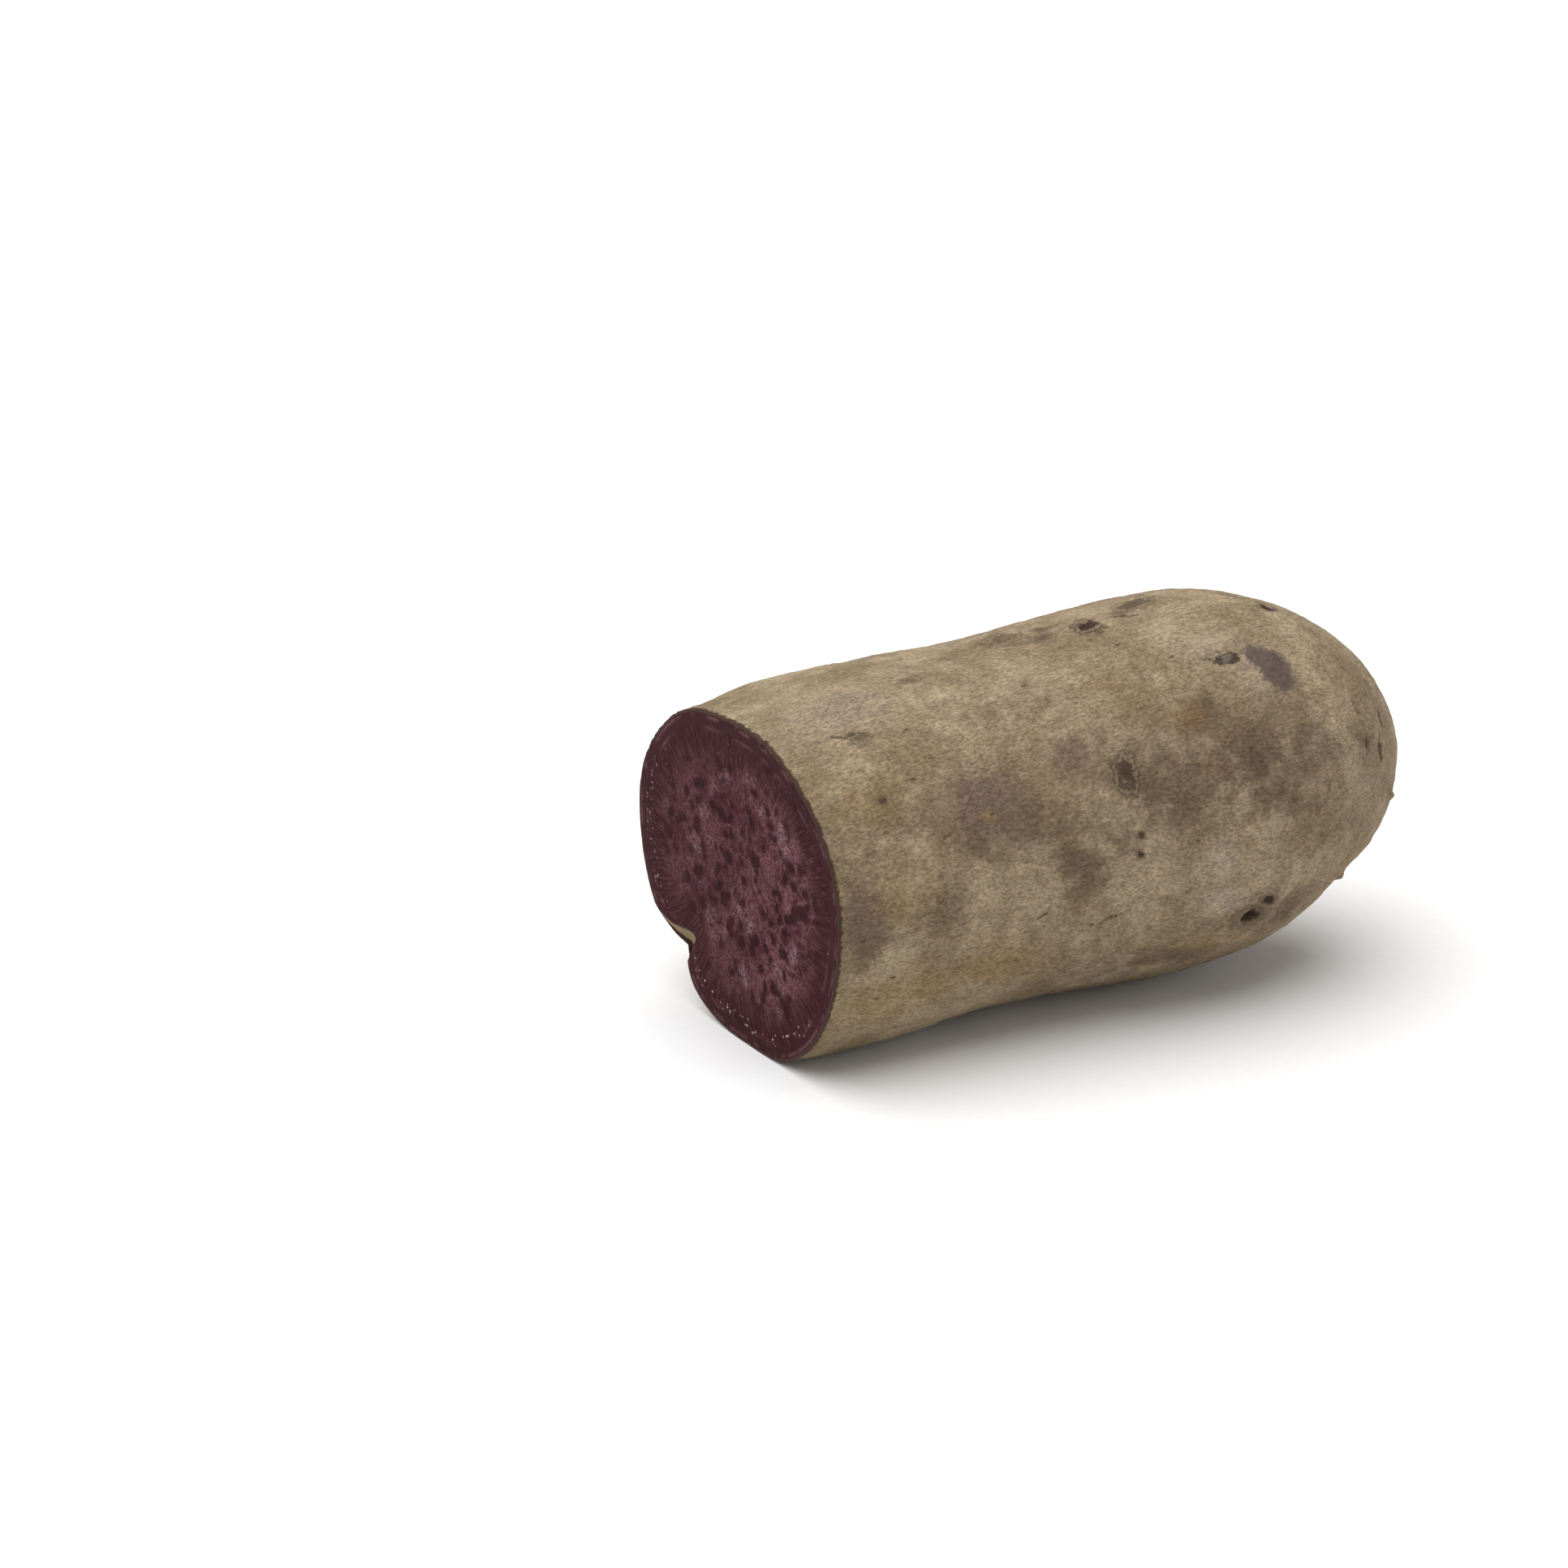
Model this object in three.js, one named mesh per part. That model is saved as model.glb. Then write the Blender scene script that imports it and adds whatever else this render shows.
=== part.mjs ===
// A purple sweet potato, cut straight across and lying on its belly: the part with the blunt, uncut end.
// It is one solid root, because the tuber grew as one piece. The skin and the purple flesh share that solid.
//
// Frame: millimetres, +Z up, +X from the cut face along the root to its uncut end, +Y to the far side.
// The origin is on the surface that the root lies on, under the middle of its box.
import * as THREE from "three";
import { ParametricGeometry } from "three/addons/geometries/ParametricGeometry.js";

// Driving dimensions.
const LENGTH = 119; // from the cut face to the tip of the uncut end
const CAP_START = 75; // distance from the cut face at which the uncut end begins to close
const CAP_FULLNESS = 2.15; // 2 closes the end as an ellipse, more makes it blunter

// The mesh: how many faces go round the root, and how many rows of them each stretch has.
const AROUND = 44;
const FACE_ROWS = 6; // rings on the cut face, from its middle to the rim
const BARREL_ROWS = 17; // rows from the rim to the start of the cap
const CAP_ROWS = 12; // rows from there to the tip
const ROWS = FACE_ROWS + BARREL_ROWS + CAP_ROWS;

// Sections across the root, evenly spaced from the cut face to the tip. Each has its widest level at height
// belt and its crest at the side position crest. The other four values reach from that point to the near
// side, the far side, the top and the underside. Where down exceeds belt, the root is pressed flat.
const SECTIONS = [
  { crest: 11, belt: 31, near: 28, far: 35, up: 24, down: 31.5 },
  { crest: 11, belt: 31, near: 30, far: 37, up: 27.5, down: 31.5 },
  { crest: 10, belt: 31, near: 30, far: 37, up: 28, down: 31 },
  { crest: 7, belt: 31, near: 29.5, far: 36, up: 29.5, down: 31 },
  { crest: 4, belt: 32, near: 30, far: 36, up: 31, down: 32.8 },
  { crest: 3, belt: 34, near: 30, far: 35, up: 30.5, down: 33 },
  { crest: 3, belt: 35.5, near: 30, far: 34, up: 28.5, down: 29.5 },
  { crest: 3, belt: 35, near: 29.5, far: 34, up: 27, down: 29 },
];

// How square each quarter of a section is: 2 is an ellipse, less is flatter across the corner, more is fuller.
const CORNERS = { nearTop: 1.85, farTop: 2.1, farUnder: 2.1, nearUnder: 2.2 };

// Swells (outwards) and dents (inwards, negative) of the skin. Each lies at a distance from the cut face and
// at a turn round the root, in degrees from the near side over the top. Spread and arc say how far it fades
// out along and round the root.
const RELIEF = [
  { along: 0, turn: 228, spread: 9, arc: 7, height: -5 }, // crease in the far side, low down
  { along: 0, turn: 122, spread: 12, arc: 18, height: 1.2 }, // shoulder at the top of the cut
  { along: 12, turn: 295, spread: 14, arc: 22, height: 0.8 }, // heel beside the cut
  { along: 66, turn: 302, spread: 28, arc: 24, height: -2.6 }, // waist in the near side
  { along: 62, turn: 165, spread: 24, arc: 28, height: 1.5 }, // bulge of the far side
];

const TAU = 2 * Math.PI;

// One value of the sections as a smooth curve over the length.
function rail(key) {
  return new THREE.SplineCurve(SECTIONS.map((s, i) => new THREE.Vector2(i, s[key])));
}

const RAILS = {
  crest: rail("crest"),
  belt: rail("belt"),
  near: rail("near"),
  far: rail("far"),
  up: rail("up"),
  down: rail("down"),
};

function read(key, along) {
  return RAILS[key].getPoint(along / LENGTH).y;
}

// How much of its full girth the root still has at a distance from the cut face.
function girthLeft(along) {
  const share = Math.max(0, (along - CAP_START) / (LENGTH - CAP_START));
  return Math.max(0, 1 - share ** CAP_FULLNESS) ** (1 / CAP_FULLNESS);
}

// How square the outline is at an angle.
function cornerAt(near, top) {
  if (near) return top ? CORNERS.nearTop : CORNERS.nearUnder;
  return top ? CORNERS.farTop : CORNERS.farUnder;
}

// A point of the section's outline at an angle, as (side, height) from the section's crest and belt.
function outline(along, turn) {
  const near = Math.cos(turn) >= 0;
  const top = Math.sin(turn) >= 0;
  const corner = cornerAt(near, top);
  const side = Math.abs(Math.cos(turn)) ** (2 / corner);
  const height = Math.abs(Math.sin(turn)) ** (2 / corner);
  return new THREE.Vector2(
    near ? -side * read("near", along) : side * read("far", along),
    top ? height * read("up", along) : -height * read("down", along),
  );
}

// The sum of the swells and dents at a place on the skin.
function relief(along, turn) {
  let sum = 0;
  for (const r of RELIEF) {
    const round = THREE.MathUtils.radToDeg(turn) - r.turn;
    const offAlong = (along - r.along) / r.spread;
    const offRound = (round - 360 * Math.round(round / 360)) / r.arc;
    sum += r.height * Math.exp(-(offAlong ** 2) - offRound ** 2);
  }
  return sum;
}

// A point on the skin. The underside is flat where the root's weight rests on the surface.
function skin(along, turn, girth, target) {
  const p = outline(along, turn).multiplyScalar(girth);
  const reach = p.length();
  if (reach > 0) p.multiplyScalar(1 + (relief(along, turn) * girth) / reach);
  const height = Math.max(0, read("belt", along) + p.y);
  target.set(along, read("crest", along) + p.x, height);
}

// The closed surface: rows 0 to FACE_ROWS cross the cut face, and the rest follow the skin to the tip.
function surface(u, v, target) {
  const turn = -u * TAU;
  const row = v * ROWS;
  if (row <= FACE_ROWS) {
    const middle = new THREE.Vector3(0, read("crest", 0), read("belt", 0));
    skin(0, turn, 1, target);
    target.lerp(middle, 1 - row / FACE_ROWS);
  } else if (row <= FACE_ROWS + BARREL_ROWS) {
    const share = (row - FACE_ROWS) / BARREL_ROWS;
    skin(share * CAP_START, turn, 1, target);
  } else {
    const share = (row - FACE_ROWS - BARREL_ROWS) / CAP_ROWS;
    const along = CAP_START + (LENGTH - CAP_START) * Math.sin((share * Math.PI) / 2);
    skin(along, turn, girthLeft(along), target);
  }
}

const geometry = new ParametricGeometry(surface, AROUND, ROWS);
geometry.computeBoundingBox();
const box = geometry.boundingBox;
geometry.translate(-(box.min.x + box.max.x) / 2, -(box.min.y + box.max.y) / 2, -box.min.z);

const root = new THREE.Mesh(
  geometry,
  new THREE.MeshStandardMaterial({ color: 0x9a8766, roughness: 0.8, metalness: 0 }),
);
root.name = "sweet_potato";

const group = new THREE.Group();
group.add(root);

export default group;
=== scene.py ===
# The looks of a cut purple sweet potato: leathery tan skin with scars and pits, and damp purple flesh.
#
# It is laid out as an add-on and run as a script. Sizes are in metres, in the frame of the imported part:
# +X from the cut face along the root to its rounded end, +Y to the far side, +Z up, floor at zero.
import math

import bmesh
import bpy
from mathutils import Euler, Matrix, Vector, noise
from mathutils.bvhtree import BVHTree
from mathutils.geometry import intersect_point_line
from mathutils.kdtree import KDTree


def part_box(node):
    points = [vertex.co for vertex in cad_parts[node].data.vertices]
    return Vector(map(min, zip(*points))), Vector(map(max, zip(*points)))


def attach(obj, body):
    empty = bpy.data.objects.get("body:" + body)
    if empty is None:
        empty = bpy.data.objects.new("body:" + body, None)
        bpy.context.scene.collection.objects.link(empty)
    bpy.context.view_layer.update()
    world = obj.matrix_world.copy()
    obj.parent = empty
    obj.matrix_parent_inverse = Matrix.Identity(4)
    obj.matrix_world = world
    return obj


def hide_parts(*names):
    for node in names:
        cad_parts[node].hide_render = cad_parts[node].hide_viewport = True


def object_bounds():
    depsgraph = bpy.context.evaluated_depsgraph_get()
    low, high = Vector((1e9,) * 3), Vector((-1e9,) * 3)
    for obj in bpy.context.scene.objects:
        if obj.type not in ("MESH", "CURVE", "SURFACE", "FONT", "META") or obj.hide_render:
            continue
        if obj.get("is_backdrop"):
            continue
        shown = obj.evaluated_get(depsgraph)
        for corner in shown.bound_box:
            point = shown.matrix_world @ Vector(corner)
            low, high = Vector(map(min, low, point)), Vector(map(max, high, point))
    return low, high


bl_info = {
    "name": "Cut sweet potato",
    "version": (1, 0, 0),
    "blender": (4, 5, 0),
    "location": "View3D > Sidebar > Sweet potato",
    "description": "Builds the skin, the flesh and the stage of a cut purple sweet potato",
    "category": "Add Mesh",
}

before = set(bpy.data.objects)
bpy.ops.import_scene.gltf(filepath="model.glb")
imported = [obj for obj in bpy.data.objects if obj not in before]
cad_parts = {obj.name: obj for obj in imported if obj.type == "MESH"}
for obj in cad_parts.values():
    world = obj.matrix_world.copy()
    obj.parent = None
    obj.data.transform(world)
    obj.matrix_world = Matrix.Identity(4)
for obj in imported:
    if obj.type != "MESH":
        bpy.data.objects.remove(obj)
CAD_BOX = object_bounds()
LOW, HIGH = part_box("sweet_potato")
MM = 0.001
PIECE = "sweet_potato_root"
LIT_POINT = Vector((0, 0, 30 * MM))  # the lights face this point


def middle_of_cut():
    """The middle of the cut face, from the CAD node."""
    points = [v.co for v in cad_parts["sweet_potato"].data.vertices]
    face = [p for p in points if p.x - LOW.x < 0.1 * MM]
    y = (min(p.y for p in face) + max(p.y for p in face)) / 2
    z = (min(p.z for p in face) + max(p.z for p in face)) / 2
    return Vector((LOW.x, y, z))


def tip_of_root():
    """The point of the uncut end that lies farthest from the cut."""
    points = [v.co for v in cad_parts["sweet_potato"].data.vertices]
    return max(points, key=lambda p: p.x).copy()


CUT = middle_of_cut()
TIP = tip_of_root()

# Marks on the skin. Each lies at a distance along the root from the cut, in millimetres, and at a turn round
# it in degrees: 0 faces the near side, 90 the top, 180 the far side and 270 the floor. Sizes are half
# widths in millimetres, along and round the root. Depth is how far the middle is sunk, and rim how far the
# ring round it stands up. A pit has no ring.
SCARS = (
    # along, turn, half along, half round, depth, rim
    (63, 88, 1.6, 2.2, 0.7, 0.5),
    (54, 29, 1.35, 2.6, 0.34, 0.45),
    (51, 98, 2.6, 1.8, 0.2, 0.25),
    (55.7, 90, 1.9, 1.3, 0.25, 0.2),
    (58, 97, 1.6, 0.9, 0.25, 0.15),
    (74, 95, 3.0, 2.2, 0.3, 0.3),
    (76.4, 23, 1.7, 3.2, 0.0, 0.14),
    (29, 84, 1.8, 0.8, 0.15, 0.15),
    (14, 62, 1.4, 1.0, 0.2, 0.2),
    (30, 196, 2.4, 2.2, 0.6, 0.4),
    (71, 158, 2.2, 2.8, 0.7, 0.5),
    (94, 214, 1.8, 1.6, 0.5, 0.4),
    (48, 243, 1.6, 1.8, 0.5, 0.3),
    (22, 140, 1.7, 1.3, 0.4, 0.3),
    (100, 130, 1.5, 2.0, 0.5, 0.3),
    (75, 337, 2.2, 1.6, 1.4, 0.3),
    (78, 341, 1.5, 0.8, 0.6, 0.2),
    (54, 11, 0.7, 0.6, 0.4, 0.1),
    (53.7, 5.5, 0.6, 0.8, 0.6, 0),
    (94.6, 79, 1.3, 0.9, 0.6, 0.2),
    (101, 20, 0.5, 1.4, 0.4, 0),
    (105, 16, 0.5, 1.8, 0.5, 0),
    (107, 27, 0.5, 1.2, 0.4, 0),
    (12, 39, 0.8, 0.7, 0.35, 0),
    (40, 170, 1.0, 0.9, 0.7, 0),
    (62, 200, 1.4, 0.9, 0.8, 0),
    (86, 176, 0.8, 1.1, 0.6, 0),
    (18, 215, 1.0, 0.9, 0.6, 0),
    (80, 110, 0.9, 0.7, 0.5, 0),
)
BUMPS = (
    # along, turn, half along, half round, height
    (110, 47, 1.2, 0.9, 0.8),
    (109, 350, 1.1, 1.4, 0.9),
    (101, 318, 1.4, 1.2, 0.9),
    (104, 22, 2.0, 2.2, 0.35),
    (84, 190, 1.6, 1.4, 0.5),
    (36, 225, 1.4, 1.1, 0.4),
)
# Cracks and ridges run through a list of (along, turn). Width is in millimetres, and a ridge has a negative
# depth.
CRACKS = (
    # points, width, depth
    (((67, 92), (70, 88), (72, 86)), 0.3, 0.2),
    (((89, 92), (93, 89), (96, 80)), 0.5, 0.5),
    (((24, 56), (25.6, 57.5)), 0.25, 0.3),
    (((29, 41), (30.8, 42.5)), 0.25, 0.3),
    (((18.5, 88), (20, 89)), 0.25, 0.3),
    (((31, 94), (32.6, 95)), 0.25, 0.3),
    (((36, 50), (37.5, 50.5)), 0.25, 0.3),
    (((10, 66), (11.5, 64), (13.5, 64.5)), 0.25, 0.3),
    (((21, 60), (22.5, 61.5)), 0.25, 0.3),
    (((40, 15), (41, 17.5)), 0.25, 0.3),
    (((47, 345), (49, 347), (52, 347.5)), 0.25, 0.3),
    (((36, 352), (38, 353.5)), 0.25, 0.3),
    (((20, 24), (21.6, 25)), 0.2, 0.2),
    (((75, 57.5), (77, 55), (80, 55)), 0.7, 0.5),
    (((77, 58.5), (79, 58.5), (80.5, 56.5)), 0.3, 0.3),
    (((17, 181), (19, 183), (21, 183.5), (24, 186)), 0.3, 0.4),
    (((60, 222), (63, 225), (67, 225.5), (70, 228)), 0.3, 0.4),
    (((38, 156), (39.5, 157)), 0.25, 0.3),
    (((86, 142), (87, 144.5)), 0.25, 0.3),
    (((93, 61), (95, 52), (95.5, 43), (94.5, 33), (94, 27)), 0.9, -0.3),
    (((71, 67), (75, 64), (80, 61)), 1.2, -0.25),
    (((45, 150), (52, 158), (56, 170)), 1.1, -0.35),
)
FOLD_START, CREASE_TURN, FOLD_END = 206, 225, 231  # turns between which the skin folds over the cut
FOLD_WIDTH = 3.6  # of the fold at the crease, in millimetres
CONE = 2.0  # how far a mark's stored value reaches, in half widths or millimetres
# Patches of a different colour, and two dark ones on the lower near side that are painted shade: the tint
# they feed, along, turn, half along, half round, strength.
PATCHES = (
    ("violet", 15, 77, 8, 5, 0.9),
    ("violet", 29, 32, 9, 8, 1.0),
    ("violet", 47, 40, 7, 6, 0.6),
    ("violet", 36, 62, 9, 5, 0.35),
    ("scab", 86, 49.5, 4.6, 6.2, 1.0),
    ("scab", 83.6, 55, 3.2, 3.8, 0.9),
    ("slate", 78.4, 56.0, 2.7, 1.2, 1.0),
    ("sap", 94.8, 78, 1.5, 1.0, 1.0),
    ("violet", 4, 6, 6, 8, 0.9),
    ("violet", 60, 62, 8, 6, 0.4),
    ("violet", 88, 22, 10, 9, 0.55),
    ("violet", 55, 318, 14, 7, 0.4),
    ("violet", 50, 200, 16, 12, 0.7),
    ("violet", 90, 170, 12, 10, 0.6),
    ("dark", 78, 14, 10, 9, 0.85),
    ("dark", 44, 6, 9, 8, 0.8),
    ("dark", 33, 20, 14, 7, 0.7),
    ("dark", 47, 12, 14, 9, 0.6),
    ("dark", 60, 24, 18, 12, 0.75),
    ("dark", 76, 24, 14, 11, 0.9),
    ("dark", 69, 40, 8, 6, 0.8),
    ("dark", 50, 100, 12, 7, 0.2),
    ("dark", 54, 31, 5, 6, 0.7),
    ("dark", 10, 33, 13, 9, 0.6),
    ("dark", 46, 60, 12, 7, 0.45),
    ("dark", 100, 20, 8, 10, 0.55),
    ("dark", 88, 30, 9, 9, 0.45),
    ("dark", 18, 5, 8, 8, 0.6),
    ("dark", 63, 84, 3, 3, 0.4),
    ("dark", 5, 357, 5, 7, 0.6),
    ("dark", 90, 5, 12, 9, 0.4),
    # These two dark patches on the lower near side are painted shade where the root turns down towards the
    # floor.
    ("dark", 80, 334, 14, 7, 0.9),
    ("dark", 62, 325, 16, 5, 0.6),
    ("dark", 40, 190, 20, 12, 0.7),
    ("dark", 80, 215, 16, 10, 0.6),
    ("pale", 68, 358, 5, 5, 0.95),
    ("pale", 69, 345, 6, 4, 0.95),
    ("pale", 82, 50, 8, 8, 0.55),
    ("pale", 76, 63, 9, 4, 0.7),
    ("pale", 14, 76, 16, 10, 0.6),
    ("pale", 44, 70, 12, 8, 0.35),
    ("pale", 36, 13, 3, 3, 0.5),
    ("pale", 56, 7, 6, 5, 0.5),
    ("pale", 100, 5, 7, 12, 0.35),
    ("pale", 30, 130, 16, 9, 0.5),
    ("pale", 70, 150, 14, 9, 0.4),
    ("ochre", 9, 40, 9, 9, 0.6),
    ("ochre", 12, 12, 9, 8, 0.5),
    ("ochre", 12, 335, 14, 8, 0.7),
    ("ochre", 29, 27, 2, 1.6, 0.7),
    ("ochre", 66, 42, 5, 3, 0.6),
    ("ochre", 58, 60, 10, 8, 0.45),
    ("ochre", 30, 338, 12, 8, 0.6),
    ("ochre", 72, 330, 10, 5, 0.5),
    ("ochre", 100, 330, 9, 9, 0.5),
    ("rust", 29.3, 27, 1.6, 1.4, 0.9),
    ("rust", 68, 40, 3.5, 3.0, 0.8),
    ("rust", 68.3, 26, 2.0, 2.4, 0.5),
    ("ochre", 20, 250, 14, 9, 0.7),
    ("ochre", 66, 120, 12, 9, 0.4),
)
# Values stored on the mesh for the materials: those of the marks, and the tints that the patches feed.
MARKS = ("scar", "deep", "ringed", "crack", "cork", "fold")
TINTS = ("violet", "dark", "pale", "ochre", "rust", "scab", "slate", "sap")


class RootSettings(bpy.types.PropertyGroup):
    """Sizes and colours of the root."""

    skin_thickness: bpy.props.FloatProperty(
        name="Skin thickness", description="Width of the skin's edge on the cut",
        default=0.45 * MM, unit="LENGTH")
    smooth_levels: bpy.props.IntProperty(
        name="Subdivisions", description="Times the mesh is subdivided", default=3, min=1, max=3)
    lumps: bpy.props.FloatProperty(
        name="Lumps", description="Height of the broad lumps of the skin", default=0.9 * MM, unit="LENGTH")
    wrinkles: bpy.props.FloatProperty(
        name="Wrinkles", description="Height of the small wrinkles", default=0.3 * MM, unit="LENGTH")
    fray: bpy.props.FloatProperty(
        name="Fray", description="How ragged the skin is at the cut", default=0.5 * MM, unit="LENGTH")
    tan: bpy.props.FloatVectorProperty(
        name="Tan", description="Light colour of the skin", subtype="COLOR", default=(0.345, 0.268, 0.172))
    khaki: bpy.props.FloatVectorProperty(
        name="Khaki", description="Deeper colour of the skin", subtype="COLOR", default=(0.225, 0.163, 0.095))
    plum: bpy.props.FloatVectorProperty(
        name="Plum", description="Dark colour of the flesh", subtype="COLOR", default=(0.022, 0.005, 0.008))
    mauve: bpy.props.FloatVectorProperty(
        name="Mauve", description="Light colour of the flesh", subtype="COLOR", default=(0.165, 0.070, 0.083))


class StageSettings(bpy.types.PropertyGroup):
    """The camera and the floor."""

    azimuth: bpy.props.FloatProperty(
        name="Azimuth", description="Camera's turn round the root", subtype="ANGLE",
        default=math.radians(-31.5))
    elevation: bpy.props.FloatProperty(
        name="Elevation", description="Camera's height above the horizon", subtype="ANGLE",
        default=math.radians(21.5))
    place: bpy.props.FloatVectorProperty(
        name="Place", description="Where the camera stands", subtype="XYZ", unit="LENGTH",
        default=(-0.4884, -0.7109, 0.373))
    lens: bpy.props.FloatProperty(
        name="Lens", description="Focal length for a 36 mm sensor", default=127.45)
    floor_size: bpy.props.FloatProperty(
        name="Floor", description="Side of the floor", default=8.0, unit="LENGTH")


def deselect_all():
    """Leaves object mode with nothing selected."""
    if bpy.context.object and bpy.context.object.mode != "OBJECT":
        bpy.ops.object.mode_set(mode="OBJECT")
    bpy.ops.object.select_all(action="DESELECT")


def make_active(piece):
    """Selects one piece alone."""
    deselect_all()
    piece.select_set(True)
    bpy.context.view_layer.objects.active = piece


def axis_point(along):
    """A point of the line through the root, along millimetres from the cut."""
    share = along * MM / (TIP.x - CUT.x)
    return CUT.lerp(TIP, share)


def outward(turn):
    """The direction away from that line at a turn in degrees."""
    angle = math.radians(turn)
    return Vector((0, -math.cos(angle), math.sin(angle)))


# ---------------------------------------------------------------- the body


def copy_of_solid():
    """A merged copy of the CAD node, as quads where they fit."""
    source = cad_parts["sweet_potato"]
    make_active(source)
    bpy.ops.object.duplicate()
    piece = bpy.context.object
    piece.name = PIECE
    piece.data.name = PIECE
    piece.data.materials.clear()
    bpy.ops.object.mode_set(mode="EDIT")
    bpy.ops.mesh.select_mode(type="FACE")
    bpy.ops.mesh.select_all(action="SELECT")
    bpy.ops.mesh.remove_doubles(threshold=0.01 * MM)
    bpy.ops.mesh.tris_convert_to_quads(face_threshold=math.radians(60), shape_threshold=math.radians(60))
    bpy.ops.object.mode_set(mode="OBJECT")
    return piece


def select_cut_face(piece):
    """Selects the faces of the cut, in edit mode."""
    bpy.ops.object.mode_set(mode="EDIT")
    mesh = bmesh.from_edit_mesh(piece.data)
    for face in mesh.faces:
        face.select_set(face.normal.x < -0.99 and face.calc_center_median().x - LOW.x < 0.1 * MM)
    mesh.select_flush_mode()
    bmesh.update_edit_mesh(piece.data)


def shape_cut(piece, skin_thickness):
    """Turns the cut into one face inside a ring for the skin's edge and a ring for the cortex."""
    cortex_width = 3.4 * MM
    make_active(piece)
    select_cut_face(piece)
    bpy.ops.mesh.dissolve_limited(angle_limit=math.radians(1))
    bpy.ops.mesh.inset(thickness=skin_thickness, use_even_offset=True)
    bpy.ops.mesh.inset(thickness=cortex_width, use_even_offset=True)
    bpy.ops.object.mode_set(mode="OBJECT")


def crease_rim(piece):
    """Keeps the edge of the cut sharp under subdivision."""
    bpy.ops.object.mode_set(mode="EDIT")
    mesh = bmesh.from_edit_mesh(piece.data)
    crease = mesh.edges.layers.float.get("crease_edge") or mesh.edges.layers.float.new("crease_edge")
    for edge in mesh.edges:
        if len(edge.link_faces) == 2 and edge.calc_face_angle() > math.radians(50):
            edge[crease] = 1.0
    bmesh.update_edit_mesh(piece.data)
    bpy.ops.object.mode_set(mode="OBJECT")


def apply_modifiers(piece):
    """Applies the modifiers in order."""
    make_active(piece)
    for modifier in list(piece.modifiers):
        bpy.ops.object.modifier_apply(modifier=modifier.name)


def smooth(piece, levels):
    """Rounds the body by subdivision."""
    modifier = piece.modifiers.new("smooth", "SUBSURF")
    modifier.levels = levels
    modifier.render_levels = levels
    apply_modifiers(piece)


def add_attribute(piece, name):
    """A value for each vertex, read by the materials."""
    return piece.data.attributes.new(name, "FLOAT", "POINT")


def rim_distances(piece):
    """For each vertex, how far it lies from the edge of the cut, and whether it is on the cut face."""
    mesh = piece.data
    on_face = [v.co.x - LOW.x < 0.05 * MM for v in mesh.vertices]
    rim = set()
    for edge in mesh.edges:
        a, b = edge.vertices
        if on_face[a] != on_face[b]:
            rim.add(a if on_face[a] else b)
    tree = KDTree(len(rim))
    for index in rim:
        tree.insert(mesh.vertices[index].co, index)
    tree.balance()
    return [tree.find(v.co)[2] for v in mesh.vertices], on_face


def skin_weight(piece, distance, on_face):
    """A vertex group that is full on the skin and fades out at the cut and at the floor."""
    group = piece.vertex_groups.new(name="skin")
    for v, away, flat in zip(piece.data.vertices, distance, on_face):
        weight = 0.0 if flat else min(1.0, away / (1.5 * MM)) * min(1.0, v.co.z / (2.0 * MM))
        group.add([v.index], weight, "REPLACE")


def cloudy_texture(name, size):
    """A procedural texture for displacement."""
    texture = bpy.data.textures.new(name, "CLOUDS")
    texture.noise_scale = size
    texture.noise_depth = 2
    return texture


def roughen(piece, name, size, height):
    """Displaces the skin by noise of a size and a height."""
    modifier = piece.modifiers.new(name, "DISPLACE")
    modifier.texture = cloudy_texture(name, size)
    modifier.texture_coords = "LOCAL"
    modifier.strength = height
    modifier.mid_level = 0.5
    modifier.vertex_group = "skin"
    apply_modifiers(piece)


def falloff(share):
    """1 in the middle, 0 from a share of 1 outwards, smooth between."""
    if share >= 1:
        return 0.0
    return (1 - share * share) ** 2


class SkinMap:
    """Finds places on the skin, and the vertices near them."""

    def __init__(self, piece):
        mesh = piece.data
        self.mesh = mesh
        self.surface = BVHTree.FromObject(piece, bpy.context.evaluated_depsgraph_get())
        self.tree = KDTree(len(mesh.vertices))
        for v in mesh.vertices:
            self.tree.insert(v.co, v.index)
        self.tree.balance()
        self.rest = [v.co.copy() for v in mesh.vertices]
        self.normals = [n.vector.copy() for n in mesh.vertex_normals]

    def place(self, along, turn):
        """The point of the skin at a distance along the root and a turn round it."""
        start = axis_point(along)
        hit, normal, _, _ = self.surface.ray_cast(start, outward(turn))
        if hit is None:
            raise RuntimeError(f"no skin at {along} mm along and {turn} degrees round")
        return hit, normal

    def around(self, along, turn, half_along, half_round, reach=1.0):
        """Vertices near a place, and how far each lies along and round from it, in half widths."""
        centre, normal = self.place(along, turn)
        lengthwise = (Vector((1, 0, 0)) - normal * normal.x).normalized()
        sideways = normal.cross(lengthwise)
        radius = max(half_along, half_round) * MM * reach
        for co, index, _ in self.tree.find_range(centre, radius):
            away = co - centre
            u = away.dot(lengthwise) / (half_along * MM)
            v = away.dot(sideways) / (half_round * MM)
            yield index, u, v

    def move(self, index, height):
        """Moves a vertex along the skin's normal by a height in millimetres."""
        self.mesh.vertices[index].co += self.normals[index] * (height * MM)


def raise_to(values, index, value):
    """Keeps the larger of two values."""
    values[index] = max(values[index], min(1.0, value))


def wobble(seed, u, v, amount):
    """Bends a distance so that an outline isn't a perfect ellipse."""
    return 1 + amount * noise.noise(Vector((u * 1.3 + seed * 7.1, v * 1.3, seed * 3.7)))


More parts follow.
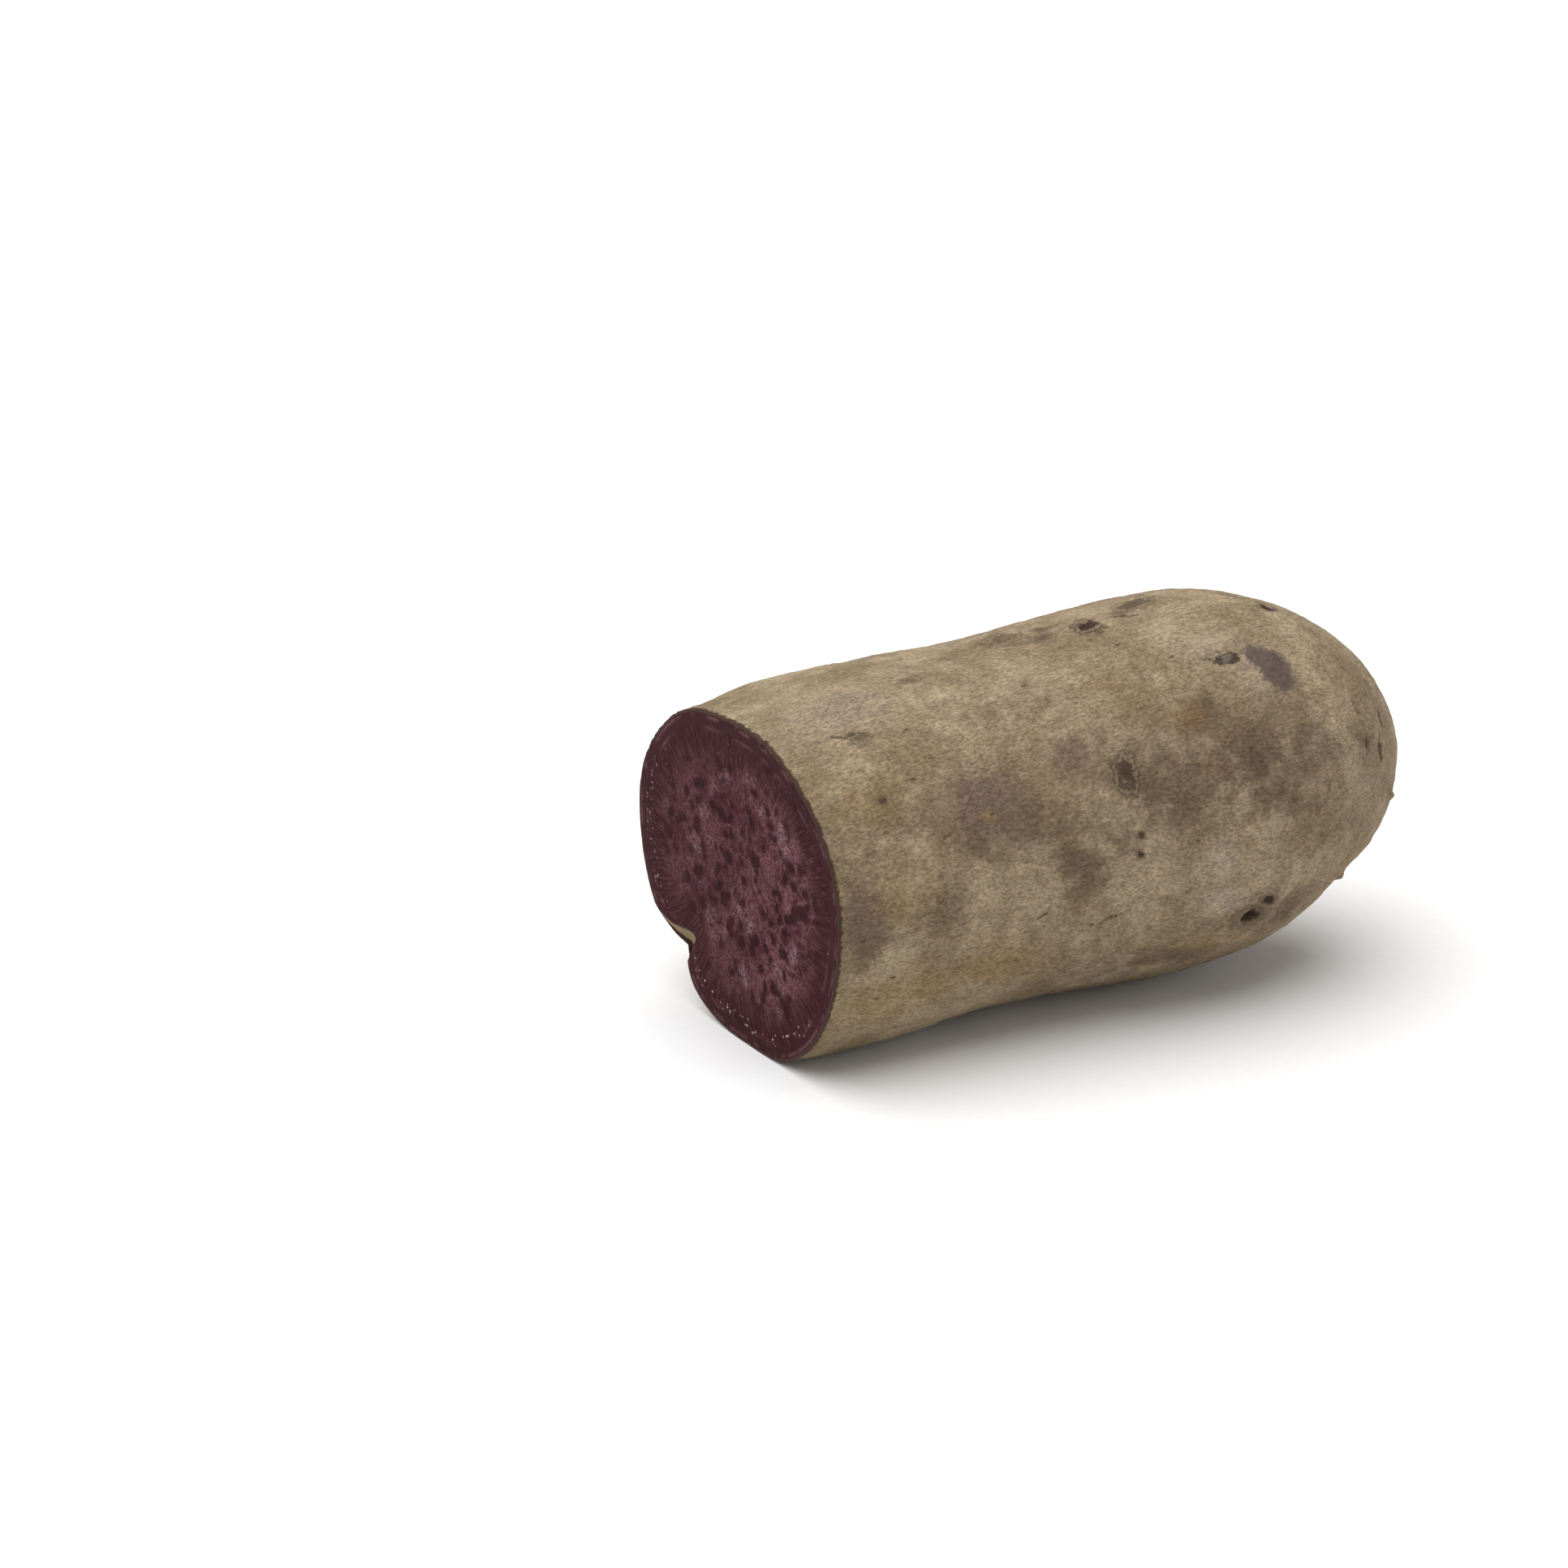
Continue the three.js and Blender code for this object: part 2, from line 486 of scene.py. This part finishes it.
def carve_scars(skin, values):
    """Pits, and ringed scars where fine roots grew: a sunk middle inside a raised ring."""
    for seed, (along, turn, half_along, half_round, depth, rim) in enumerate(SCARS):
        for index, u, v in skin.around(along, turn, half_along, half_round, reach=CONE):
            share = math.hypot(u, v) * wobble(seed, u, v, 0.45)
            ring = math.exp(-((share - 0.95) / 0.25) ** 2)
            ragged = 0.65 + 0.7 * noise.noise(Vector((u * 3, v * 3, seed)))
            skin.move(index, rim * ring * ragged - depth * falloff(share / 0.85))
            raise_to(values["scar"], index, 1 - share / CONE)
            raise_to(values["deep"], index, 0.25 + depth)
            raise_to(values["ringed"], index, 2 * rim)


def raise_bumps(skin, values):
    """Stubs and warts."""
    for seed, (along, turn, half_along, half_round, height) in enumerate(BUMPS):
        for index, u, v in skin.around(along, turn, half_along, half_round, reach=CONE):
            swell = falloff(math.hypot(u, v) * wobble(seed + 90, u, v, 0.4))
            skin.move(index, height * swell)
            raise_to(values["cork"], index, swell * 0.6)


def distance_to_path(spot, places):
    """How far a point lies from a line through several places."""
    nearest = []
    for start, end in zip(places, places[1:]):
        foot, share = intersect_point_line(spot, start, end)
        foot = start if share < 0 else end if share > 1 else foot
        nearest.append((spot - foot).length)
    return min(nearest)


def cut_cracks(skin, values):
    """Fine cracks, and low ridges, along a line."""
    for seed, (points, width, depth) in enumerate(CRACKS):
        places = [skin.place(*point)[0] for point in points]
        middle = sum(places, Vector()) / len(places)
        reach = max((place - middle).length for place in places) + CONE * MM
        for co, index, _ in skin.tree.find_range(middle, reach):
            away = distance_to_path(co, places) / MM
            strength = 0.7 + 0.6 * noise.noise(co * 500 + Vector((seed, 0, 0)))
            skin.move(index, -depth * strength * falloff(away / (width + 0.6)))
            if depth > 0:
                raise_to(values["crack"], index, (CONE - max(0, away - width + 0.3)) / CONE)
            else:
                raise_to(values["cork"], index, 0.4 * strength * falloff(away / width))


def fold_at_crease(piece, distance, on_face, values):
    """Folds the skin back on to the cut beside the sharp crease in its far side."""
    for v, away, flat in zip(piece.data.vertices, distance, on_face):
        if not flat:
            continue
        turn = math.degrees(math.atan2(v.co.z - CUT.z, CUT.y - v.co.y)) % 360
        if not FOLD_START < turn < FOLD_END:
            continue
        rise = min(1.0, (turn - FOLD_START) / (CREASE_TURN - FOLD_START), (FOLD_END - turn) / 3)
        width = (FOLD_WIDTH * rise + 0.4 * noise.noise(v.co * 500)) * MM
        if width <= 0:
            continue
        raise_to(values["fold"], v.index, 1.5 - away / width)
        v.co.x += 1.3 * MM * rise * falloff(away / (1.4 * width))


def paint_patches(skin, values):
    """Fills the tint values from the list of patches."""
    for name, along, turn, half_along, half_round, strength in PATCHES:
        for index, u, v in skin.around(along, turn, half_along, half_round, reach=1.5):
            raise_to(values[name], index, strength * math.exp(-1.6 * (u * u + v * v)))


def fray_rim(piece, distance, on_face, fray, skin_thickness):
    """Makes the skin's edge at the cut ragged, most of all along the top."""
    for v, away, flat in zip(piece.data.vertices, distance, on_face):
        if away > 3 * skin_thickness:
            continue
        spread = 1 - away / (3 * skin_thickness)
        tuft = noise.noise(v.co * 700) + 0.35 * noise.noise(v.co * 1900)
        high = max(0.12, min(1.0, (v.co.z - 30 * MM) / (20 * MM)))
        sink = 0.5 if flat else 1.0
        v.co.x += fray * spread * sink * high * (0.35 + tuft)
        radial = Vector((0, v.co.y - CUT.y, v.co.z - CUT.z)).normalized()
        lift = 0.6 * fray * spread * high * noise.noise(v.co * 1500 + Vector((5, 0, 0)))
        v.co += radial * lift
        v.co.z = max(0.0, v.co.z)


def store(piece, name, values):
    """Writes one value for each vertex."""
    add_attribute(piece, name).data.foreach_set("value", values)


def carve_skin(piece, settings):
    """Adds the relief of the skin and the values that its material reads."""
    distance, on_face = rim_distances(piece)
    skin_weight(piece, distance, on_face)
    roughen(piece, "lumps", 16 * MM, settings.lumps)
    roughen(piece, "dimples", 5 * MM, settings.lumps * 0.4)
    roughen(piece, "wrinkles", 1.6 * MM, settings.wrinkles)
    skin = SkinMap(piece)
    values = {name: [0.0] * len(distance) for name in TINTS + MARKS}
    carve_scars(skin, values)
    raise_bumps(skin, values)
    cut_cracks(skin, values)
    fold_at_crease(piece, distance, on_face, values)
    paint_patches(skin, values)
    fray_rim(piece, distance, on_face, settings.fray, settings.skin_thickness)
    values["rim"] = [away / MM for away in distance]
    for name, numbers in values.items():
        store(piece, name, numbers)
    piece.vertex_groups.clear()
    return distance, on_face


def assign_materials(piece, distance, on_face, skin_thickness):
    """Flesh on the cut inside the skin's edge, and skin everywhere else."""
    piece.data.materials.append(skin_material())
    piece.data.materials.append(flesh_material())
    for face in piece.data.polygons:
        inside = all(on_face[i] for i in face.vertices)
        deep = sum(distance[i] for i in face.vertices) / len(face.vertices)
        face.material_index = 1 if inside and deep > skin_thickness else 0


# ---------------------------------------------------------------- materials


class Shader:
    """A material's node tree, with short calls for the nodes that it uses."""

    def __init__(self, name):
        self.material = bpy.data.materials.new(name)
        self.material.use_nodes = True
        self.tree = self.material.node_tree
        self.tree.nodes.clear()
        self.place = self.node("ShaderNodeTexCoord").outputs["Object"]

    def node(self, kind, *inputs, named=None, **settings):
        """Adds a node. Inputs are set or linked in order, or by name."""
        made = self.tree.nodes.new(kind)
        for key, value in settings.items():
            setattr(made, key, value)
        pairs = list(zip(made.inputs, inputs))
        pairs += [(made.inputs[key], value) for key, value in (named or {}).items()]
        for socket, value in pairs:
            if isinstance(value, bpy.types.NodeSocket):
                self.tree.links.new(value, socket)
            elif value is not None:
                socket.default_value = value
        return made

    def math(self, operation, a, b=0.0, clamp=False):
        return self.node("ShaderNodeMath", a, b, operation=operation, use_clamp=clamp).outputs[0]

    def add(self, a, b):
        return self.math("ADD", a, b)

    def times(self, a, b):
        return self.math("MULTIPLY", a, b)

    def ramp(self, value, low, high, to_low=0.0, to_high=1.0):
        """Maps a value smoothly from one range to another."""
        made = self.node("ShaderNodeMapRange", interpolation_type="SMOOTHSTEP",
                         named={"Value": value, "From Min": low, "From Max": high,
                                "To Min": to_low, "To Max": to_high})
        return made.outputs["Result"]

    def stretched(self, scale, turn=(0, 0, 0), shift=(0, 0, 0)):
        """The place on the object, scaled, turned and moved."""
        made = self.node("ShaderNodeMapping", vector_type="POINT",
                         named={"Vector": self.place, "Location": shift, "Rotation": turn, "Scale": scale})
        return made.outputs[0]

    def noise(self, size, detail=4.0, roughness=0.55, distortion=0.0, place=None):
        """Cloudy noise whose lumps have a size in metres."""
        made = self.node("ShaderNodeTexNoise",
                         named={"Vector": place or self.place, "Scale": 1 / size, "Detail": detail,
                                "Roughness": roughness, "Distortion": distortion})
        return made.outputs[0]

    def cells(self, size, feature="F1", place=None):
        """Distance to the nearest of many scattered points, in shares of the cell size."""
        made = self.node("ShaderNodeTexVoronoi", feature=feature,
                         named={"Vector": place or self.place, "Scale": 1 / size})
        return made.outputs

    def value(self, name):
        """A value stored on the mesh."""
        return self.node("ShaderNodeAttribute", attribute_name=name).outputs["Fac"]

    def mix(self, share, a, b, blend="MIX"):
        """A colour between two colours."""
        made = self.node("ShaderNodeMix", data_type="RGBA", blend_type=blend)
        sockets = {"Factor": share, "A": a, "B": b}
        for socket in made.inputs:
            if socket.enabled and socket.name in sockets:
                value = sockets[socket.name]
                if isinstance(value, bpy.types.NodeSocket):
                    self.tree.links.new(value, socket)
                elif socket.name == "Factor":
                    socket.default_value = value
                else:
                    socket.default_value = (*value, 1.0)
        return next(s for s in made.outputs if s.enabled)

    def bump(self, height):
        """Relief whose height is in millimetres."""
        made = self.node("ShaderNodeBump", named={"Strength": 1.0, "Distance": MM, "Height": height})
        return made.outputs[0]

    def surface(self, colour, roughness, normal, **constants):
        """Ends the tree in a surface."""
        made = self.node("ShaderNodeBsdfPrincipled",
                         named={"Base Color": colour, "Roughness": roughness, "Normal": normal})
        for key, value in constants.items():
            made.inputs[key.replace("_", " ")].default_value = value
        self.node("ShaderNodeOutputMaterial", made.outputs[0])
        return self.material


def skin_colour(shader, grain):
    """Tan and khaki skin with cloudy patches, flecks and fine grain, and painted shade on the lower near
    side.
    """
    settings = bpy.context.scene.root_settings
    violet, dark, pale, ochre, rust = ((0.138, 0.092, 0.070), (0.105, 0.069, 0.043), (0.40, 0.325, 0.235),
                                       (0.30, 0.200, 0.084), (0.20, 0.105, 0.055))
    clouds = shader.noise(13 * MM, detail=6, roughness=0.6)
    blotches = shader.noise(3.2 * MM, detail=5, roughness=0.6, distortion=0.4)
    colour = shader.mix(shader.ramp(clouds, 0.35, 0.65), tuple(settings.tan), tuple(settings.khaki))
    uneven = shader.ramp(shader.add(blotches, clouds), 0.66, 1.34, 0.55, 1.55)
    # The dark tint is mostly the skin's own darker tone, but its two patches on the lower near side are
    # painted shade.
    for tint, target, reach in (("dark", dark, 0.85), ("violet", violet, 0.8), ("ochre", ochre, 0.65),
                                ("rust", rust, 0.55), ("pale", pale, 0.75)):
        broken = shader.times(shader.value(tint), uneven)
        colour = shader.mix(shader.ramp(broken, 0.02, 1.0, 0.0, reach), colour, target)
    colour = shader.mix(shader.ramp(blotches, 0.35, 0.7, 0.0, 0.4), colour, (0.165, 0.116, 0.072))
    flecks = shader.noise(1.1 * MM, detail=3, place=shader.stretched((0.6, 1, 1), turn=(0, 0.3, 0)))
    light = shader.times(shader.ramp(flecks, 0.3, 0.72, 0.90, 1.09),
                         shader.ramp(grain, 0.30, 0.70, 0.66, 1.36))
    grey = shader.node("ShaderNodeCombineColor", light, light, light)
    return shader.mix(1.0, colour, grey.outputs[0], blend="MULTIPLY")


def skin_marks(shader, colour):
    """Adds the scars, the cracks with painted shade in their hollows, and the edge at the cut. Returns the
    colour, the hollows and the rings.
    """
    rough = shader.add(shader.noise(0.7 * MM, detail=4, roughness=0.65), -0.5)
    scab = shader.add(shader.value("scab"), shader.times(rough, 0.9))
    crust = shader.mix(shader.ramp(rough, -0.15, 0.15), (0.070, 0.049, 0.043), (0.115, 0.084, 0.072))
    colour = shader.mix(shader.ramp(scab, 0.36, 0.62, 0.0, 0.88), colour, crust)
    slate = shader.add(shader.value("slate"), shader.times(rough, 0.9))
    colour = shader.mix(shader.ramp(slate, 0.24, 0.40, 0.0, 0.75), colour, (0.062, 0.042, 0.029))
    colour = shader.mix(shader.ramp(slate, 0.50, 0.68, 0.0, 0.85), colour, (0.165, 0.137, 0.120))
    cork = shader.add(shader.value("cork"), shader.times(rough, 0.5))
    colour = shader.mix(shader.ramp(cork, 0.2, 0.75, 0.0, 0.5), colour, (0.36, 0.285, 0.195))
    warped = shader.add(shader.times(shader.add(shader.noise(1.8 * MM, detail=2), -0.5), 1.8),
                        shader.times(rough, 0.8))
    share = shader.add(shader.math("SUBTRACT", CONE, shader.times(shader.value("scar"), CONE)), warped)
    halo = shader.times(shader.ramp(share, 1.9, 1.0), shader.ramp(shader.value("deep"), 0.2, 0.8, 0.2, 0.6))
    colour = shader.mix(halo, colour, (0.105, 0.069, 0.043))
    inside = shader.times(shader.ramp(share, 1.15, 0.8), shader.value("ringed"))
    colour = shader.mix(shader.times(inside, 0.5), colour, (0.115, 0.078, 0.050))
    ring = shader.times(shader.ramp(share, 0.85, 1.05), shader.ramp(share, 1.45, 1.2))
    ring = shader.times(ring, shader.value("ringed"))
    colour = shader.mix(shader.times(ring, 0.40), colour, (0.31, 0.245, 0.160))
    outline = shader.times(shader.ramp(share, 1.3, 1.45), shader.ramp(share, 1.75, 1.5))
    outline = shader.times(outline, shader.value("ringed"))
    colour = shader.mix(shader.times(outline, 0.4), colour, (0.07, 0.045, 0.028))
    # Painted shade, partly their own dark tissue: the middles of the pits and the cracks turn dark brown,
    # darker the deeper they are carved.
    hollow = shader.times(shader.ramp(share, 1.0, 0.55),
                          shader.ramp(shader.value("deep"), 0.3, 0.9, 0.15, 0.95))
    gaps = shader.ramp(shader.noise(2.2 * MM, detail=2), 0.42, 0.62, 0.10, -0.10)
    crack = shader.add(shader.add(shader.value("crack"), gaps), shader.times(rough, 0.35))
    hollow = shader.math("MAXIMUM", hollow, shader.ramp(crack, 0.86, 1.0, 0.0, 0.6))
    colour = shader.mix(hollow, colour, (0.046, 0.028, 0.020))
    sap = shader.add(shader.value("sap"), shader.times(rough, 0.5))
    colour = shader.mix(shader.ramp(sap, 0.4, 0.6, 0.0, 0.9), colour, (0.10, 0.03, 0.085))
    edge = shader.ramp(shader.add(shader.value("rim"), shader.times(rough, 1.6)), 0.8, 0.35, 0.0, 0.93)
    return shader.mix(edge, colour, (0.050, 0.025, 0.018)), hollow, ring


def skin_specks(shader, colour):
    """Adds tiny dark pores and short strokes, and returns them for the relief too."""
    lengthwise = shader.stretched((0.45, 1, 1), turn=(0, 0.35, 0))
    near = shader.cells(2.3 * MM, place=lengthwise)
    chance = shader.node("ShaderNodeSeparateColor", near["Color"]).outputs[0]
    size = shader.ramp(chance, 0.55, 1.0, 0.0, 0.13)
    pores = shader.ramp(shader.math("SUBTRACT", size, near["Distance"]), -0.03, 0.04)
    return shader.mix(shader.times(pores, 0.75), colour, (0.085, 0.055, 0.035)), pores


def skin_material():
    """Dry, leathery skin."""
    shader = Shader("leathery skin")
    grain = shader.noise(0.42 * MM, detail=4, roughness=0.65,
                         place=shader.stretched((0.55, 1, 1), turn=(0, 0.35, 0)))
    creases = shader.noise(2.4 * MM, detail=6, roughness=0.7, distortion=0.6,
                           place=shader.stretched((0.6, 1, 1), turn=(0, 0.35, 0)))
    colour = skin_colour(shader, grain)
    colour, pores = skin_specks(shader, colour)
    colour, hollow, ring = skin_marks(shader, colour)
    height = shader.add(shader.times(grain, 0.26), shader.times(creases, 0.55))
    height = shader.math("SUBTRACT", height, shader.times(pores, 0.15))
    height = shader.add(height, shader.times(ring, 0.35))
    height = shader.math("SUBTRACT", height, shader.times(hollow, 0.3))
    roughness = shader.ramp(creases, 0.3, 0.7, 0.78, 0.62)
    return shader.surface(colour, roughness, shader.bump(height), Specular_IOR_Level=0.12)


def flesh_net(shader, flat, rim):
    """Dark round spots in a lighter net, and fine fibres. Returns the colour, the fibres and the spots."""
    settings = bpy.context.scene.root_settings
    warp = shader.node("ShaderNodeTexNoise", named={"Vector": flat, "Scale": 1 / (4 * MM), "Detail": 3.0})
    bend = shader.node("ShaderNodeVectorMath", warp.outputs[1], (0.5, 0.5, 0.5), operation="SUBTRACT")
    bend = shader.node("ShaderNodeVectorMath", bend.outputs[0], operation="SCALE", named={"Scale": 4 * MM})
    bent = shader.node("ShaderNodeVectorMath", flat, bend.outputs[0], operation="ADD").outputs[0]
    inner = shader.ramp(rim, 3.5, 9)
    fine = shader.noise(0.55 * MM, detail=6, roughness=0.8, place=bent)
    regions = shader.noise(9 * MM, detail=3, place=flat)
    side = shader.ramp(shader.node("ShaderNodeSeparateXYZ", flat).outputs[1], 12 * MM, -20 * MM, 0.65, 1.4)
    spots = shader.cells(2.6 * MM, feature="SMOOTH_F1", place=bent)["Distance"]
    seams = shader.cells(2.6 * MM, feature="DISTANCE_TO_EDGE", place=bent)["Distance"]
    colour = shader.mix(shader.ramp(fine, 0.35, 0.65), (0.038, 0.0072, 0.0088), (0.064, 0.016, 0.0185))
    haze = shader.times(shader.ramp(spots, 0.22, 0.46), shader.ramp(regions, 0.38, 0.58, 0.18, 1.15))
    haze = shader.times(shader.times(haze, shader.add(shader.times(inner, 0.92), 0.08)), side)
    haze = shader.times(haze, shader.ramp(fine, 0.40, 0.62, 0.05, 1.0))
    colour = shader.mix(shader.times(haze, 0.85), colour, tuple(settings.mauve))
    net = shader.times(shader.times(shader.ramp(seams, 0.14, 0.0), inner), shader.ramp(fine, 0.4, 0.6))
    colour = shader.mix(shader.times(shader.times(net, side), 0.3), colour, (0.25, 0.125, 0.148))
    dark = shader.times(shader.ramp(spots, 0.40, 0.20), shader.ramp(regions, 0.65, 0.35, 0.55, 1.0))
    colour = shader.mix(shader.times(dark, 0.9), colour, tuple(settings.plum))
    stars = shader.cells(5.6 * MM, place=bent)
    chosen = shader.node("ShaderNodeSeparateColor", stars["Color"]).outputs[0]
    star = shader.times(shader.ramp(stars["Distance"], 0.50, 0.05), shader.ramp(chosen, 0.40, 0.60))
    star = shader.times(shader.times(star, shader.ramp(fine, 0.42, 0.60)), shader.times(inner, side))
    return shader.mix(shader.times(star, 0.6), colour, (0.36, 0.215, 0.25)), fine, spots


def flesh_rim(shader, colour, flat, rim):
    """Fine rays towards the skin, the cortex outside them and the thin line between the two."""
    parts = shader.node("ShaderNodeSeparateXYZ", flat)
    angle = shader.math("ARCTAN2", parts.outputs[2], parts.outputs[1])
    rays_at = shader.node("ShaderNodeCombineXYZ", shader.times(angle, 60.0), shader.times(rim, 0.22))
    rays = shader.node("ShaderNodeTexNoise", named={"Vector": rays_at.outputs[0], "Scale": 1.0, "Detail": 4.0,
                                                    "Roughness": 0.65})
    reach = shader.add(rim, shader.times(shader.add(rays.outputs[0], -0.5), 9))
    band = shader.times(shader.ramp(rim, 1.8, 3.2), shader.ramp(reach, 10.5, 5))
    colour = shader.mix(shader.times(band, 0.72), colour, (0.037, 0.0075, 0.0100))
    share = shader.times(shader.ramp(rays.outputs[0], 0.47, 0.62), shader.ramp(rim, 2.2, 3.4))
    share = shader.times(share, shader.ramp(rim, 11, 6))
    colour = shader.mix(shader.times(share, 0.42), colour, (0.13, 0.054, 0.064))
    cortex = shader.ramp(rim, 2.9, 2.2)
    colour = shader.mix(shader.times(cortex, 0.7), colour, (0.046, 0.015, 0.019))
    broken = shader.ramp(shader.noise(5 * MM, detail=3, place=flat), 0.45, 0.6)
    line = shader.times(shader.times(shader.ramp(rim, 2.2, 2.7), shader.ramp(rim, 3.3, 2.8)), broken)
    colour = shader.mix(shader.times(line, 0.5), colour, (0.13, 0.06, 0.072))
    outer = shader.times(shader.ramp(rim, 1.5, 0.9), shader.ramp(rim, 0.5, 0.8))
    return shader.mix(shader.times(shader.times(outer, broken), 0.7), colour, (0.15, 0.066, 0.082))


def sap_dots(shader, flat, rim):
    """White dots of dried sap near the skin, low down and on the far side, and a few strays."""
    parts = shader.node("ShaderNodeSeparateXYZ", flat)
    drops = shader.cells(0.8 * MM, place=flat)
    chosen = shader.node("ShaderNodeSeparateColor", drops["Color"]).outputs[1]
    drop = shader.times(shader.ramp(drops["Distance"], 0.36, 0.2), shader.ramp(chosen, 0.45, 0.6))
    near_line = shader.times(shader.ramp(rim, 2.0, 2.8), shader.ramp(rim, 5.0, 3.8))
    low = shader.ramp(parts.outputs[2], -15 * MM, -20 * MM)
    far = shader.times(shader.ramp(parts.outputs[1], 20 * MM, 25 * MM), 0.4)
    stretches = shader.math("MAXIMUM", low, far)
    stray = shader.times(shader.ramp(drops["Distance"], 0.22, 0.1), shader.ramp(chosen, 0.93, 0.96))
    return shader.math("MAXIMUM", shader.times(shader.times(drop, near_line), stretches),
                       shader.times(stray, 0.35))


def flesh_material():
    """Damp purple flesh."""
    shader = Shader("purple flesh")
    flat = shader.stretched((0, 1, 1), shift=(0, -CUT.y, -CUT.z))
    rim = shader.value("rim")
    colour, fine, spots = flesh_net(shader, flat, rim)
    colour = flesh_rim(shader, colour, flat, rim)
    sap = sap_dots(shader, flat, rim)
    colour = shader.mix(sap, colour, (0.50, 0.43, 0.46))
    fold = shader.add(shader.value("fold"), shader.times(shader.add(fine, -0.5), 0.5))
    colour = shader.mix(shader.ramp(fold, 0.38, 0.5), colour, (0.05, 0.025, 0.018))
    colour = shader.mix(shader.ramp(fold, 0.55, 0.7), colour, (0.27, 0.20, 0.125))
    height = shader.add(shader.times(fine, 0.16), shader.times(spots, 0.08))
    height = shader.add(height, shader.times(sap, 0.12))
    roughness = shader.ramp(fine, 0.3, 0.7, 0.42, 0.6)
    return shader.surface(colour, roughness, shader.bump(height), Specular_IOR_Level=0.02)


def floor_material():
    """Matt white paper."""
    shader = Shader("pale floor")
    fibre = shader.noise(2 * MM, detail=2)
    colour = shader.mix(fibre, (0.86, 0.86, 0.86), (0.90, 0.90, 0.90))
    return shader.surface(colour, 0.9, shader.bump(shader.times(fibre, 0.01)), Specular_IOR_Level=0.1)


# ---------------------------------------------------------------- operators


class BuildRoot(bpy.types.Operator):
    """Build the cut root with its skin and flesh"""

    bl_idname = "sweet_potato.root"
    bl_label = "Root"

    def execute(self, context):
        settings = context.scene.root_settings
        piece = copy_of_solid()
        shape_cut(piece, settings.skin_thickness)
        crease_rim(piece)
        smooth(piece, settings.smooth_levels)
        distance, on_face = carve_skin(piece, settings)
        assign_materials(piece, distance, on_face, settings.skin_thickness)
        make_active(piece)
        bpy.ops.object.shade_smooth_by_angle(angle=math.radians(55))
        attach(piece, "root")
        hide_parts("sweet_potato")
        return {"FINISHED"}


def add_light(name, place, size, power):
    """A soft area light that faces the root."""
    bpy.ops.object.light_add(type="AREA", location=place)
    light = bpy.context.object
    light.name = name
    light.data.shape = "DISK"
    light.data.size = size
    light.data.energy = power
    light.rotation_euler = (LIT_POINT - Vector(place)).to_track_quat("-Z", "Y").to_euler()


class BuildStage(bpy.types.Operator):
    """Add the floor, the lights and the camera"""

    bl_idname = "sweet_potato.stage"
    bl_label = "Stage"

    def execute(self, context):
        settings = context.scene.stage_settings
        deselect_all()
        bpy.ops.mesh.primitive_plane_add(size=settings.floor_size, location=(0, 0, -0.1 * MM))
        floor = context.object
        floor.name = "floor"
        floor.data.materials.append(floor_material())
        floor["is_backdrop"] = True
        add_light("key", (-0.25, 0.25, 1.20), 2.8, 42)
        add_light("fill", (1.1, -1.1, 0.45), 1.2, 6.0)
        world = bpy.data.worlds.new("studio")
        world.use_nodes = True
        world.node_tree.nodes["Background"].inputs["Color"].default_value = (1, 1, 1, 1)
        world.node_tree.nodes["Background"].inputs["Strength"].default_value = 0.26
        context.scene.world = world
        context.scene.view_settings.view_transform = "Standard"
        bpy.ops.object.camera_add(location=settings.place)
        camera = context.object
        camera.name = "camera"
        turn = Euler((math.pi / 2 - settings.elevation, 0, settings.azimuth))
        camera.rotation_euler = turn
        camera.data.lens = settings.lens
        camera.data.sensor_width = 36
        camera.data.clip_end = 20
        context.scene.camera = camera
        return {"FINISHED"}


class SweetPotatoPanel(bpy.types.Panel):
    """The operators and settings in the sidebar"""

    bl_idname = "VIEW3D_PT_sweet_potato"
    bl_label = "Sweet potato"
    bl_space_type = "VIEW_3D"
    bl_region_type = "UI"
    bl_category = "Sweet potato"

    def draw(self, context):
        for settings in (context.scene.root_settings, context.scene.stage_settings):
            for name in settings.bl_rna.properties.keys():
                if name not in ("rna_type", "name"):
                    self.layout.prop(settings, name)
        self.layout.operator(BuildRoot.bl_idname)
        self.layout.operator(BuildStage.bl_idname)


CLASSES = (RootSettings, StageSettings, BuildRoot, BuildStage, SweetPotatoPanel)


def register():
    for cls in CLASSES:
        bpy.utils.register_class(cls)
    bpy.types.Scene.root_settings = bpy.props.PointerProperty(type=RootSettings)
    bpy.types.Scene.stage_settings = bpy.props.PointerProperty(type=StageSettings)


def unregister():
    del bpy.types.Scene.stage_settings
    del bpy.types.Scene.root_settings
    for cls in reversed(CLASSES):
        bpy.utils.unregister_class(cls)


def write_sizes():
    """Makes a table of the CAD box and the finished box, each as its lowest and highest corner, and discards
    it.
    """
    boxes = {"cad": CAD_BOX, "visual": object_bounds()}
    {name: [list(corner) for corner in box] for name, box in boxes.items()}


def main():
    register()
    bpy.ops.sweet_potato.root()
    bpy.ops.sweet_potato.stage()
    write_sizes()


if __name__ == "__main__":
    main()
